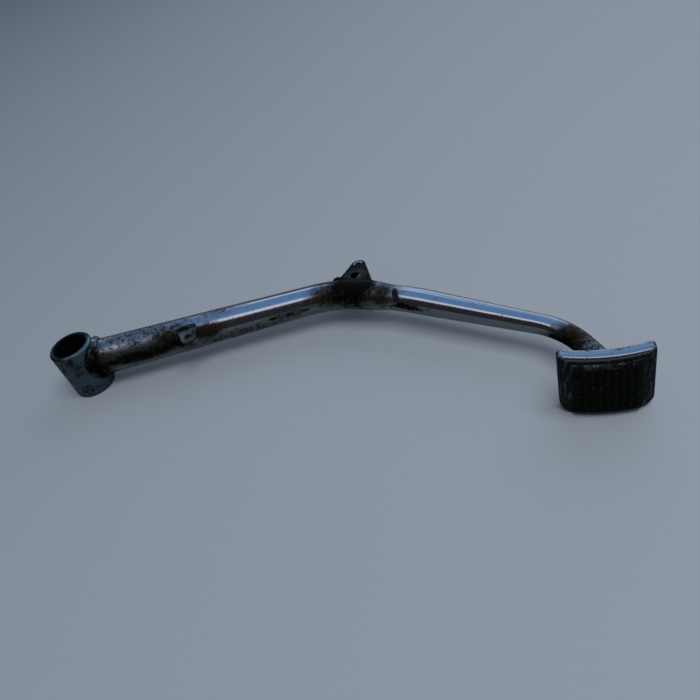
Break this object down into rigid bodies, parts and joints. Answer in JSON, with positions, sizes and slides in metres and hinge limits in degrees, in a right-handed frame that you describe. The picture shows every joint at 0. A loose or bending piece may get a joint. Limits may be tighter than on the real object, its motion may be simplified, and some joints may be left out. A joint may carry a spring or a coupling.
{
  "type": "brake pedal",
  "caption": "Bent tapered tube lever with a welded pivot sleeve, brake-rod ear, spring tab and a ribbed foot pad, in worn chrome.",
  "frame": {"origin": "centre of the pivot bore, halfway along the sleeve", "axes": "+Z along the pivot bore, towards the side the picture looks down on; +X along the first straight of the lever, from the pivot towards the foot pad; +Y towards the brake-rod ear's side"},
  "size_m": [0.3384, 0.161, 0.0403],
  "materials": {
    "worn_chrome": "old chrome plating, pitted and rusted in patches",
    "weld_bead": "plated weld bead gone dark brown",
    "dark_steel": "dark rusted steel with plating left on the edges"
  },
  "bodies": {
    "root": {"pivot_sleeve": "worn_chrome", "arm_tube": "worn_chrome", "sleeve_weld": "weld_bead", "spring_tab": "worn_chrome", "tab_weld": "weld_bead", "rod_ear": "dark_steel", "ear_bush": "dark_steel", "ear_weld_upper": "weld_bead", "ear_weld_lower": "weld_bead", "foot_pad": "worn_chrome", "pad_weld": "weld_bead"}
  },
  "joints": []
}
